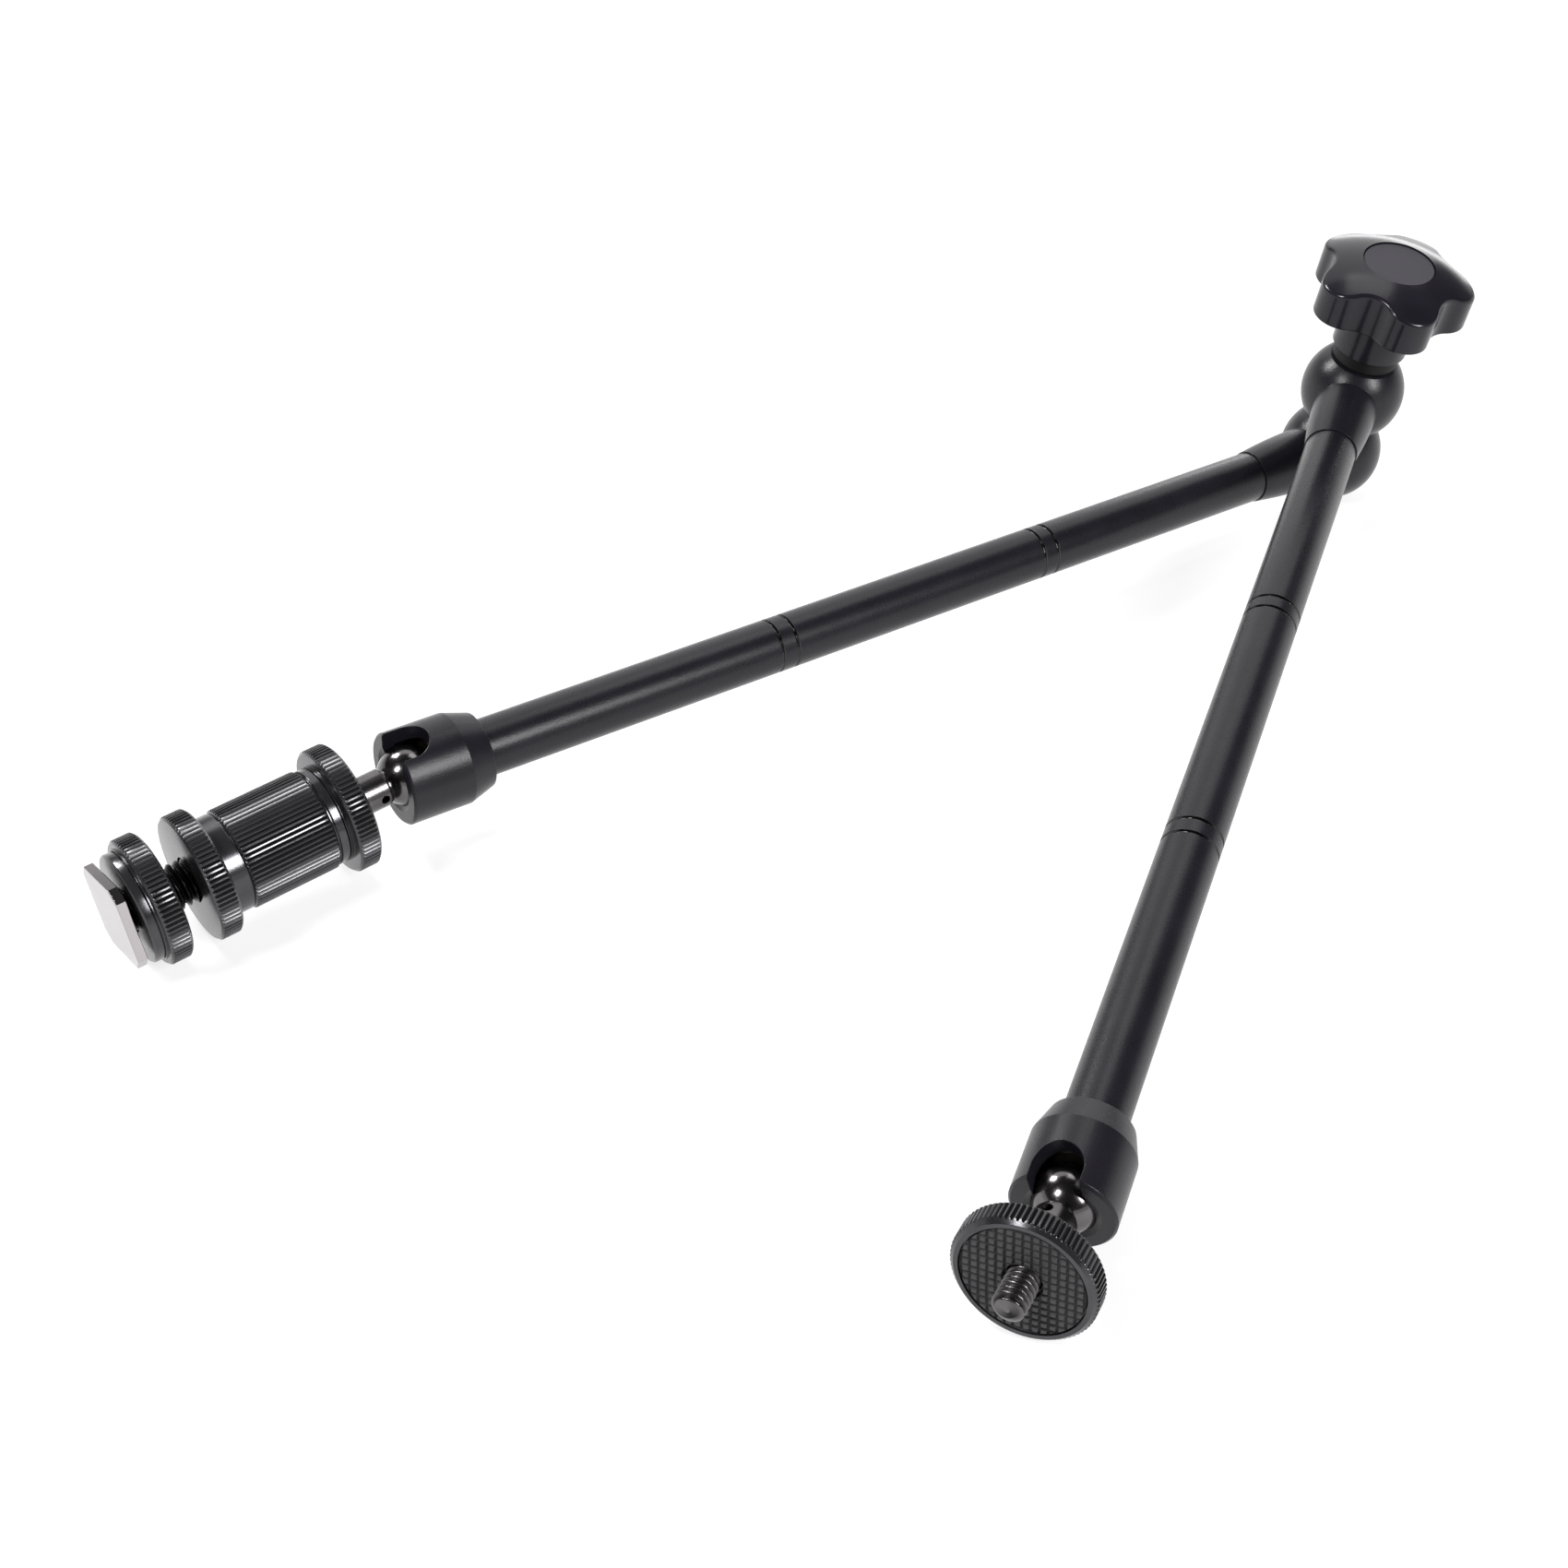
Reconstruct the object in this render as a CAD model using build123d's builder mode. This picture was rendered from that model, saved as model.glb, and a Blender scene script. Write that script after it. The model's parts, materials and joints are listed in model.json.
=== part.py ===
"""Articulating friction arm: two equal tubes on a central knuckle with a five-lobed knob.

The arm is first laid out in the knuckle's own frame, with the pivot axis along Z and the
upper tube along X, and then turned as it lies on a table: on the lower knuckle and on the
rims of the camera disc and the shoe disc. All sizes are in millimetres.
"""
import math
import os

from build123d import *

os.makedirs("parts", exist_ok=True)

# fits
running_fit = 0.05
end_gap = 0.3

# central knuckle
knuckle_r = 12.8
tube_height = 9.62
parting_gap = 0.05
upper_flat_r = 8.5
lower_flat_r = 7.2
friction_washer_r = 7.4
friction_washer_bore_r = 3.6
friction_washer_thickness = 1.2
washer_recess_play = 0.1

# wedge clamp inside the knuckle
bolt_r = 3.0
cone_r = 6.0
cone_slope = 0.55
cone_start = 13.0
cone_end = 8.6
chamber_floor_gap = 1.0
sleeve_top = 20.2
bolt_head_recess = 1.2
hex_socket = 5.0
hex_socket_depth = 4.0
thrust_washer_r = 8.2
thrust_washer_thickness = 3.0

# knob
knob_tip_r = 20.0
knob_valley_r = 15.2
knob_lobe_r = 6.8
knob_lobes = 5
knob_lobe_angle = 27.6
knob_rim_height = 12.6
knob_dome_r = 42.0
knob_edge_r = 1.2
knob_under_edge_r = 0.6
hub_r = 9.3
hub_height = 11.7
hub_edge = 0.5
cap_r = 8.75
cap_thickness = 1.2
cap_sunk = 0.3
cap_gap = 0.2
insert_r = 5.5
insert_cover = 2.0
bolt_reach = 34.0
bolt_end_room = 4.0

# arms
tube_r = 6.25
tube_bore_r = 4.3
tube_start = 28.4
tube_edge = 0.3
groove_places = (95.5, 99.4, 170.5, 174.6)
groove_width = 1.2
groove_depth = 0.5
neck_end_r = 6.5
neck_middle = (18.5, 7.55)
neck_root = (9.0, 7.95)
spigot_length = 12.0
collar_r = 7.0
collar_length = 7.1
rod_r = 2.5
rod_nest = 3.0

# ball sockets
ball_r = 6.5
ball_place = 264.8
socket_r = 10.08
socket_rear_r = 8.3
socket_back = 16.5
socket_taper = 5.65
socket_reach = 3.2
socket_edge = 0.5
lip_r = 5.95
lip_bevel_r = 7.1
ball_play = 0.04
shoulder_reach = 0.5
slot_half_width = 4.8
seat_front = 4.6
seat_head_length = 3.8
seat_tail_length = 6.4

# ball studs
stem_r = 4.07
stem_neck_r = 3.7
stem_start = 5.7
stem_edge = 0.3
tommy_hole_r = 0.9
tommy_hole_place = 7.4

# knurled discs
disc_r = 13.6
disc_thickness = 4.85
disc_edge = 0.6
knurl_depth = 0.4
knurl_count = 80

# camera head
camera_thread_r = 3.175
camera_disc_place = 17.25
camera_disc_thickness = 5.15
camera_face_edge = 0.8
pad_r = 11.7
pad_depth = 1.4
pad_sunk = 0.1
pad_hole_r = 3.8
camera_screw_reach = 29.4
camera_thread_pitch = 1.27
camera_thread_depth = 0.6
screw_tip_chamfer = 0.8

# shoe head
barrel_disc_place = 13.8
barrel_step_r = 10.6
barrel_step = 0.7
barrel_play = 0.2
barrel_r = 10.85
barrel_knurl_depth = 0.4
barrel_knurl_count = 66
barrel_neck_r = 10.5
barrel_groove_r = 9.9
barrel_groove = 0.45
barrel_near_neck = 1.7
barrel_knurl_length = 19.2
barrel_far_neck = 3.7
stud_screw_length = 9.5
shoe_thread_r = 4.7625
shoe_screw_depth = 12.8
clamp_disc_place = 55.95
hub_disc_r = 11.75
hub_disc_height = 2.6
hub_disc_edge = 0.4
hub_base_r = 12.1
hub_base = 0.5
hub_groove_r = 11.3
hub_groove = 0.25
foot_side = 18.3
foot_corner = 2.4
foot_thickness = 2.1
foot_gap = 1.4
foot_turn = 24.0

# how the joints stand in the photo, in degrees
arm_opening = 36.15
arm_lean = 0.28
camera_slot_angle = 24.2
camera_tilt = 10.86
camera_tilt_angle = 36.9
camera_hole_angle = 29.0
shoe_slot_angle = 5.1
shoe_tilt = 5.98
shoe_tilt_angle = 227.2
shoe_hole_angle = -80.0

up = Vector(0, 0, 1)


def aside(direction, reference, angle):
    """Unit vector square to a direction, turned by an angle from a reference vector."""
    first = (reference - direction * reference.dot(direction)).normalized()
    second = direction.cross(first)
    turn = math.radians(angle)
    return first * math.cos(turn) + second * math.sin(turn)


def tilted(direction, tilt, angle):
    """The direction leaned over by a tilt toward the given angle around itself."""
    lean = math.radians(tilt)
    return direction * math.cos(lean) + aside(direction, up, angle) * math.sin(lean)


def lengthwise(origin, direction, angle=0.0):
    """Profile plane: its X runs along the direction and its Y stands off it."""
    side = aside(direction, up, angle)
    return Plane(origin=origin, x_dir=direction, z_dir=direction.cross(side))


def across(origin, direction, distance, angle=0.0):
    """Plane square to the direction, at a distance along it."""
    return Plane(
        origin=origin + direction * distance,
        x_dir=aside(direction, up, angle),
        z_dir=direction,
    )


def turn(plane, points, mode=Mode.ADD):
    """Turn a closed profile of (distance, radius) points about the plane's X axis."""
    with BuildSketch(plane) as profile:
        with BuildLine():
            Polyline(*points, close=True)
        make_face()
    revolve(profile.sketch, axis=Axis(plane.origin, plane.x_dir), mode=mode)


def bore(plane, start, end, radius, mode=Mode.SUBTRACT):
    """Round hole or plug along the plane's X axis."""
    turn(plane, [(start, 0), (start, radius), (end, radius), (end, 0)], mode)


def knurl(plane, length, radius, depth, count):
    """Prism of straight V-shaped teeth."""
    points = []
    for index in range(2 * count):
        reach = radius if index % 2 == 0 else radius - depth
        angle = math.pi * index / count
        points.append((reach * math.cos(angle), reach * math.sin(angle)))
    with BuildSketch(plane) as teeth:
        Polygon(*points, align=None)
    extrude(teeth.sketch, amount=length)


# each arm leans a little toward the other one's plane
upper_axis = Vector(1, 0, 0).rotate(Axis.Y, arm_lean)
lower_axis = Vector(1, 0, 0).rotate(Axis.Y, -arm_lean).rotate(Axis.Z, -arm_opening)
upper_root = up * tube_height
lower_root = up * -tube_height
camera_ball = upper_root + upper_axis * ball_place
shoe_ball = lower_root + lower_axis * ball_place
camera_axis = tilted(upper_axis, camera_tilt, camera_tilt_angle)
shoe_axis = tilted(lower_axis, shoe_tilt, shoe_tilt_angle)

upper_flat = tube_height + math.sqrt(knuckle_r**2 - upper_flat_r**2)
lower_flat = tube_height + math.sqrt(knuckle_r**2 - lower_flat_r**2)
chamber_floor = cone_end - chamber_floor_gap
cone_tip_r = cone_r - cone_slope * (cone_start - cone_end)
cone_at_rod = cone_r - cone_slope * (cone_start - tube_height)
rod_centre = cone_at_rod + (rod_r + end_gap) * math.hypot(1, cone_slope)
seat_back = ball_place - seat_front - seat_head_length
socket_rear = ball_place - socket_back
socket_front = ball_place + socket_reach
hub_bottom = sleeve_top + thrust_washer_thickness
knob_bottom = hub_bottom + hub_height
knob_top = knob_bottom + knob_rim_height
insert_end = bolt_reach + insert_cover


def knuckle_half(side, axis, flat):
    """Truncated sphere with a flared neck, a clamp chamber and a spigot for the tube."""
    root = side * tube_height
    profile = Plane(origin=(0, 0, 0), x_dir=side, z_dir=side.cross(axis))
    neck = lengthwise(root, axis)
    parting_r = math.sqrt(knuckle_r**2 - (tube_height - parting_gap) ** 2)
    flat_r = math.sqrt(knuckle_r**2 - (flat - tube_height) ** 2)
    with BuildPart() as half:
        with BuildSketch(profile):
            with BuildLine():
                Line((parting_gap, 0), (parting_gap, parting_r))
                ThreePointArc(
                    (parting_gap, parting_r),
                    (tube_height, knuckle_r),
                    (flat, flat_r),
                )
                Line((flat, flat_r), (flat, 0))
                Line((flat, 0), (parting_gap, 0))
            make_face()
        revolve(axis=Axis((0, 0, 0), side))
        with BuildSketch(neck):
            with BuildLine():
                Line((0, 0), (0, neck_root[1]))
                Line((0, neck_root[1]), neck_root)
                ThreePointArc(neck_root, neck_middle, (tube_start, neck_end_r))
                Line((tube_start, neck_end_r), (tube_start, 0))
                Line((tube_start, 0), (0, 0))
            make_face()
        revolve(axis=Axis(root, axis))
        bore(neck, tube_start, tube_start + spigot_length, tube_bore_r, Mode.ADD)
        bore(profile, 0, friction_washer_thickness / 2, friction_washer_r + washer_recess_play)
        bore(profile, 0, chamber_floor, bolt_r + 2 * running_fit)
        bore(profile, chamber_floor, flat, cone_r + running_fit)
        bore(neck, 0, tube_start + spigot_length, rod_r + running_fit)
    return half


def arm_tube(root, axis):
    """Thin-walled tube with two pairs of V-grooves and a threaded collar at the socket."""
    collar_end = socket_rear + collar_length
    outline = [(tube_start, tube_bore_r), (tube_start, tube_r - tube_edge)]
    outline.append((tube_start + tube_edge, tube_r))
    for place in groove_places:
        outline.append((place - groove_width / 2, tube_r))
        outline.append((place, tube_r - groove_depth))
        outline.append((place + groove_width / 2, tube_r))
    outline.extend([(socket_rear, tube_r), (socket_rear, collar_r)])
    outline.extend([(collar_end, collar_r), (collar_end, tube_bore_r)])
    with BuildPart() as tube:
        turn(lengthwise(root, axis), outline)
    return tube


def push_rod(root, axis):
    """Steel rod with a domed end that rides on the wedge."""
    rod_end = seat_back - seat_tail_length + rod_nest
    dome = rod_r * math.sqrt(0.5)
    with BuildPart() as rod:
        with BuildSketch(lengthwise(root, axis)):
            with BuildLine():
                ThreePointArc(
                    (rod_centre - rod_r, 0),
                    (rod_centre - dome, dome),
                    (rod_centre, rod_r),
                )
                Line((rod_centre, rod_r), (rod_end, rod_r))
                Line((rod_end, rod_r), (rod_end, 0))
                Line((rod_end, 0), (rod_centre - rod_r, 0))
            make_face()
        revolve(axis=Axis(root, axis))
    return rod


def ball_seat(root, axis):
    """Brass cup that is pushed against the ball, with a tail guided in the tube's bore."""
    cup_r = ball_r + running_fit
    cup_mouth = math.sqrt(cup_r**2 - seat_front**2)
    bend = (math.pi + math.atan2(cup_mouth, -seat_front)) / 2
    cup_middle = (ball_place + cup_r * math.cos(bend), cup_r * math.sin(bend))
    head_r = collar_r - running_fit
    tail_r = tube_bore_r - running_fit
    front = ball_place - seat_front
    tail_start = seat_back - seat_tail_length
    rod_end = tail_start + rod_nest
    with BuildPart() as seat:
        with BuildSketch(lengthwise(root, axis)):
            with BuildLine():
                Polyline(
                    (front, cup_mouth),
                    (front, head_r),
                    (seat_back, head_r),
                    (seat_back, tail_r),
                    (tail_start, tail_r),
                    (tail_start, rod_r),
                    (rod_end, rod_r),
                    (rod_end, 0),
                    (ball_place - cup_r, 0),
                )
                ThreePointArc((ball_place - cup_r, 0), cup_middle, (front, cup_mouth))
            make_face()
        revolve(axis=Axis(root, axis))
    return seat


def ball_socket(root, axis, slot_angle):
    """Tapered housing with a spherical lip and a U-slot that lets the stem fold square."""
    cup_r = ball_r + ball_play
    shoulder_r = math.sqrt(cup_r**2 - shoulder_reach**2)
    lip_reach = math.sqrt(cup_r**2 - lip_r**2)
    middle = math.hypot(shoulder_reach + lip_reach, shoulder_r + lip_r) / cup_r
    arc_middle = (
        ball_place + (shoulder_reach + lip_reach) / middle,
        (shoulder_r + lip_r) / middle,
    )
    centre = root + axis * ball_place
    slot_direction = aside(axis, up, slot_angle)
    slot_plane = Plane(origin=centre, x_dir=axis, z_dir=slot_direction)
    with BuildPart() as socket:
        with BuildSketch(lengthwise(root, axis)):
            with BuildLine():
                Polyline(
                    (ball_place + shoulder_reach, shoulder_r),
                    (ball_place + shoulder_reach, collar_r),
                    (socket_rear, collar_r),
                    (socket_rear, socket_rear_r),
                    (socket_rear + socket_taper, socket_r),
                    (socket_front - socket_edge, socket_r),
                    (socket_front, socket_r - socket_edge),
                    (socket_front, lip_bevel_r),
                    (ball_place + lip_reach, lip_r),
                )
                ThreePointArc(
                    (ball_place + lip_reach, lip_r),
                    arc_middle,
                    (ball_place + shoulder_reach, shoulder_r),
                )
            make_face()
        revolve(axis=Axis(root, axis))
        with BuildSketch(slot_plane):
            Circle(slot_half_width)
            with Locations((socket_front - ball_place, 0)):
                Rectangle(2 * (socket_front - ball_place), 2 * slot_half_width)
        extrude(amount=2 * socket_r, mode=Mode.SUBTRACT)
    return socket


def ball_stud(centre, axis, shoulder, tip, hole_angle):
    """Ball, stem and threaded end turned in one piece, with a cross hole for a tommy bar."""
    neck_start = math.sqrt(ball_r**2 - stem_neck_r**2)
    with BuildPart() as stud:
        with BuildSketch(lengthwise(centre, axis)):
            with BuildLine():
                ThreePointArc((-ball_r, 0), (0, ball_r), (neck_start, stem_neck_r))
                Polyline(
                    (neck_start, stem_neck_r),
                    (stem_start, stem_neck_r),
                    (stem_start + stem_edge, stem_r),
                    (shoulder, stem_r),
                    (shoulder, camera_thread_r),
                    (tip - screw_tip_chamfer, camera_thread_r),
                    (tip, camera_thread_r - screw_tip_chamfer),
                    (tip, 0),
                    (-ball_r, 0),
                )
            make_face()
        revolve(axis=Axis(centre, axis))
        hole_direction = aside(axis, up, hole_angle)
        hole_centre = centre + axis * tommy_hole_place
        with BuildSketch(Plane(origin=hole_centre, x_dir=axis, z_dir=hole_direction)):
            Circle(tommy_hole_r)
        extrude(amount=2 * stem_r, both=True, mode=Mode.SUBTRACT)
    return stud


def knurled_disc(centre, axis, place, thickness, hole_r, front_edge=disc_edge):
    """Flat disc with a straight-knurled rim between two plain chamfers."""
    root_r = disc_r - knurl_depth
    profile = lengthwise(centre, axis)
    with BuildPart() as disc:
        turn(
            profile,
            [
                (place, 0),
                (place, root_r - disc_edge),
                (place + disc_edge, root_r),
                (place + thickness - front_edge, root_r),
                (place + thickness, root_r - front_edge),
                (place + thickness, 0),
            ],
        )
        knurl(
            across(centre, axis, place + disc_edge),
            thickness - disc_edge - front_edge,
            disc_r,
            knurl_depth,
            knurl_count,
        )
        bore(profile, place, place + thickness, hole_r)
    return disc


upper_knuckle = knuckle_half(up, upper_axis, upper_flat)
lower_knuckle = knuckle_half(up * -1, lower_axis, lower_flat)
upper_tube = arm_tube(upper_root, upper_axis)
lower_tube = arm_tube(lower_root, lower_axis)
upper_push_rod = push_rod(upper_root, upper_axis)
lower_push_rod = push_rod(lower_root, lower_axis)
upper_ball_seat = ball_seat(upper_root, upper_axis)
lower_ball_seat = ball_seat(lower_root, lower_axis)
upper_socket = ball_socket(upper_root, upper_axis, camera_slot_angle)
lower_socket = ball_socket(lower_root, lower_axis, shoe_slot_angle)

pivot_profile = Plane(origin=(0, 0, 0), x_dir=up, z_dir=(0, -1, 0))

with BuildPart() as friction_washer:
    with BuildSketch(Plane.XY.offset(-friction_washer_thickness / 2)):
        Circle(friction_washer_r)
        Circle(friction_washer_bore_r, mode=Mode.SUBTRACT)
    extrude(amount=friction_washer_thickness)

with BuildPart() as clamp_sleeve:
    turn(
        pivot_profile,
        [
            (cone_end, bolt_r + running_fit),
            (cone_end, cone_tip_r),
            (cone_start, cone_r),
            (sleeve_top, cone_r),
            (sleeve_top, bolt_r + running_fit),
        ],
    )

with BuildPart() as clamp_bolt:
    head_end = bolt_head_recess - lower_flat
    turn(
        pivot_profile,
        [
            (head_end, 0),
            (head_end, cone_r),
            (-cone_start, cone_r),
            (-cone_end, cone_tip_r),
            (-cone_end, bolt_r),
            (bolt_reach - stem_edge, bolt_r),
            (bolt_reach, bolt_r - stem_edge),
            (bolt_reach, 0),
        ],
    )
    with BuildSketch(Plane.XY.offset(head_end)):
        RegularPolygon(hex_socket / 2, 6, major_radius=False)
    extrude(amount=hex_socket_depth, mode=Mode.SUBTRACT)

with BuildPart() as thrust_washer:
    with BuildSketch(Plane.XY.offset(sleeve_top)):
        Circle(thrust_washer_r)
        Circle(bolt_r + end_gap, mode=Mode.SUBTRACT)
    extrude(amount=thrust_washer_thickness)

cap_rim_r = cap_r + cap_gap
cap_floor = knob_top - cap_sunk - cap_thickness
dome_centre = knob_top - math.sqrt(knob_dome_r**2 - cap_rim_r**2)


def dome_rim(edge):
    """True for the edges where the knob's dome meets its lobed side."""
    middle = edge.center(CenterOf.MASS)
    return math.hypot(middle.X, middle.Y) > cap_r + 1 and edge.geom_type != GeomType.LINE


with BuildPart() as knob:
    lobe_centre_r = knob_tip_r - knob_lobe_r
    half_step = math.pi / knob_lobes
    # the valley arc touches both lobe arcs and the valley circle
    valley_arc_r = (
        lobe_centre_r**2
        + knob_valley_r**2
        - 2 * lobe_centre_r * knob_valley_r * math.cos(half_step)
        - knob_lobe_r**2
    ) / (2 * (knob_lobe_r + lobe_centre_r * math.cos(half_step) - knob_valley_r))
    valley_centre_r = knob_valley_r + valley_arc_r
    with BuildSketch(Plane.XY.offset(knob_bottom)):
        with BuildLine():
            for index in range(knob_lobes):
                middle = math.radians(knob_lobe_angle) + 2 * half_step * index
                lobe = Vector(math.cos(middle), math.sin(middle)) * lobe_centre_r
                tip = Vector(math.cos(middle), math.sin(middle)) * knob_tip_r
                joins = []
                for side in (-1, 1):
                    angle = middle + side * half_step
                    valley = Vector(math.cos(angle), math.sin(angle)) * valley_centre_r
                    joins.append(lobe + (valley - lobe).normalized() * knob_lobe_r)
                ThreePointArc(joins[0], tip, joins[1])
                angle = middle + half_step
                low = Vector(math.cos(angle), math.sin(angle)) * knob_valley_r
                next_join = joins[0].rotate(Axis.Z, math.degrees(2 * half_step))
                ThreePointArc(joins[1], low, next_join)
        make_face()
    extrude(amount=knob_rim_height)
    with Locations((0, 0, dome_centre)):
        Sphere(knob_dome_r, mode=Mode.INTERSECT)
    fillet(faces().filter_by(GeomType.SPHERE).edges().filter_by(dome_rim), radius=knob_edge_r)
    fillet(faces().sort_by(Axis.Z)[0].outer_wire().edges(), radius=knob_under_edge_r)
    turn(
        pivot_profile,
        [
            (hub_bottom, 0),
            (hub_bottom, hub_r - hub_edge),
            (hub_bottom + hub_edge, hub_r),
            (knob_bottom + 1, hub_r),
            (knob_bottom + 1, 0),
        ],
    )
    bore(pivot_profile, hub_bottom, insert_end, insert_r)
    bore(pivot_profile, hub_bottom, bolt_reach + bolt_end_room, bolt_r + end_gap)
    bore(pivot_profile, cap_floor, knob_top, cap_rim_r)

with BuildPart() as knob_cap:
    with BuildSketch(Plane.XY.offset(cap_floor)):
        Circle(cap_r)
    extrude(amount=cap_thickness)
    fillet(faces().sort_by(Axis.Z)[-1].edges(), radius=cap_gap)

with BuildPart() as knob_insert:
    bore(pivot_profile, hub_bottom, insert_end, insert_r, Mode.ADD)
    bore(pivot_profile, hub_bottom, insert_end, bolt_r + running_fit)

camera_profile = lengthwise(camera_ball, camera_axis)
camera_face = camera_disc_place + camera_disc_thickness
pad_face = camera_face - pad_sunk
camera_ball_stud = ball_stud(
    camera_ball,
    camera_axis,
    camera_disc_place,
    camera_screw_reach,
    camera_hole_angle,
)
# the last thread root before the pad, where the free end of the screw begins
with camera_ball_stud:
    root_end = pad_face + running_fit
    turn(
        camera_profile,
        [
            (root_end - camera_thread_pitch, camera_thread_r),
            (root_end - camera_thread_pitch / 2, camera_thread_r - camera_thread_depth),
            (root_end, camera_thread_r),
            (root_end, camera_thread_r + running_fit),
            (root_end - camera_thread_pitch, camera_thread_r + running_fit),
        ],
        Mode.SUBTRACT,
    )

camera_disc = knurled_disc(
    camera_ball,
    camera_axis,
    camera_disc_place,
    camera_disc_thickness,
    camera_thread_r + running_fit,
    camera_face_edge,
)
with camera_disc:
    bore(camera_profile, camera_face - pad_depth, camera_face, pad_r)

with BuildPart() as camera_pad:
    bore(camera_profile, camera_face - pad_depth, pad_face, pad_r, Mode.ADD)
    bore(camera_profile, camera_face - pad_depth, pad_face, pad_hole_r)

shoe_profile = lengthwise(shoe_ball, shoe_axis)
barrel_disc_face = barrel_disc_place + disc_thickness
barrel_start = barrel_disc_face + barrel_step + barrel_play
shoe_ball_stud = ball_stud(
    shoe_ball,
    shoe_axis,
    barrel_disc_place,
    barrel_start + stud_screw_length,
    shoe_hole_angle,
)

barrel_disc = knurled_disc(
    shoe_ball,
    shoe_axis,
    barrel_disc_place,
    disc_thickness,
    camera_thread_r,
)
with barrel_disc:
    bore(shoe_profile, barrel_disc_face, barrel_disc_face + barrel_step, barrel_step_r, Mode.ADD)
    bore(shoe_profile, barrel_disc_face, barrel_disc_face + barrel_step, camera_thread_r)

knurl_start = barrel_start + barrel_near_neck + barrel_groove
knurl_end = knurl_start + barrel_knurl_length
barrel_end = knurl_end + barrel_groove + barrel_far_neck
with BuildPart() as barrel:
    knurl_root_r = barrel_r - barrel_knurl_depth
    turn(
        shoe_profile,
        [
            (barrel_start, 0),
            (barrel_start, barrel_neck_r),
            (barrel_start + barrel_near_neck, barrel_neck_r),
            (barrel_start + barrel_near_neck, barrel_groove_r),
            (knurl_start, barrel_groove_r),
            (knurl_start, knurl_root_r - disc_edge),
            (knurl_start + disc_edge, knurl_root_r),
            (knurl_end - disc_edge, knurl_root_r),
            (knurl_end, knurl_root_r - disc_edge),
            (knurl_end, barrel_groove_r),
            (knurl_end + barrel_groove, barrel_groove_r),
            (knurl_end + barrel_groove, barrel_neck_r),
            (barrel_end, barrel_neck_r),
            (barrel_end, 0),
        ],
    )
    knurl(
        across(shoe_ball, shoe_axis, knurl_start + disc_edge),
        barrel_knurl_length - 2 * disc_edge,
        barrel_r,
        barrel_knurl_depth,
        barrel_knurl_count,
    )
    stud_hole_end = barrel_start + stud_screw_length + end_gap
    bore(shoe_profile, barrel_start, stud_hole_end, camera_thread_r + running_fit)
    bore(shoe_profile, barrel_end - shoe_screw_depth, barrel_end, shoe_thread_r)

lock_disc_place = barrel_end + running_fit
shoe_lock_disc = knurled_disc(
    shoe_ball,
    shoe_axis,
    lock_disc_place,
    disc_thickness,
    shoe_thread_r + running_fit,
)

clamp_disc_face = clamp_disc_place + disc_thickness
shoe_clamp_disc = knurled_disc(
    shoe_ball,
    shoe_axis,
    clamp_disc_place,
    disc_thickness,
    shoe_thread_r + running_fit,
)
hub_base_end = clamp_disc_face + hub_base
hub_disc_end = clamp_disc_face + hub_disc_height
with shoe_clamp_disc:
    turn(
        shoe_profile,
        [
            (clamp_disc_face, shoe_thread_r + running_fit),
            (clamp_disc_face, hub_base_r),
            (hub_base_end, hub_base_r),
            (hub_base_end, hub_groove_r),
            (hub_base_end + hub_groove, hub_groove_r),
            (hub_base_end + hub_groove, hub_disc_r),
            (hub_disc_end - hub_disc_edge, hub_disc_r),
            (hub_disc_end, hub_disc_r - hub_disc_edge),
            (hub_disc_end, shoe_thread_r + running_fit),
        ],
    )

foot_start = hub_disc_end + foot_gap
with BuildPart() as shoe_screw:
    bore(shoe_profile, barrel_end - shoe_screw_depth, foot_start, shoe_thread_r, Mode.ADD)
    with BuildSketch(across(shoe_ball, shoe_axis, foot_start, foot_turn)):
        plate = Rectangle(foot_side, foot_side)
        chamfer(plate.vertices(), length=foot_corner)
    extrude(amount=foot_thickness)

pieces = {
    "upper_knuckle": upper_knuckle,
    "lower_knuckle": lower_knuckle,
    "friction_washer": friction_washer,
    "clamp_sleeve": clamp_sleeve,
    "clamp_bolt": clamp_bolt,
    "thrust_washer": thrust_washer,
    "knob": knob,
    "knob_cap": knob_cap,
    "knob_insert": knob_insert,
    "upper_tube": upper_tube,
    "lower_tube": lower_tube,
    "upper_push_rod": upper_push_rod,
    "lower_push_rod": lower_push_rod,
    "upper_ball_seat": upper_ball_seat,
    "lower_ball_seat": lower_ball_seat,
    "upper_socket": upper_socket,
    "lower_socket": lower_socket,
    "camera_ball_stud": camera_ball_stud,
    "camera_disc": camera_disc,
    "camera_pad": camera_pad,
    "shoe_ball_stud": shoe_ball_stud,
    "barrel_disc": barrel_disc,
    "barrel": barrel,
    "shoe_lock_disc": shoe_lock_disc,
    "shoe_clamp_disc": shoe_clamp_disc,
    "shoe_screw": shoe_screw,
}


def lowest(circle, normal):
    """Lowest point of a circle, given as centre, axis and radius, over a floor."""
    centre, axis, radius = circle
    reach = normal - axis * normal.dot(axis)
    return centre - reach.normalized() * radius


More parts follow.
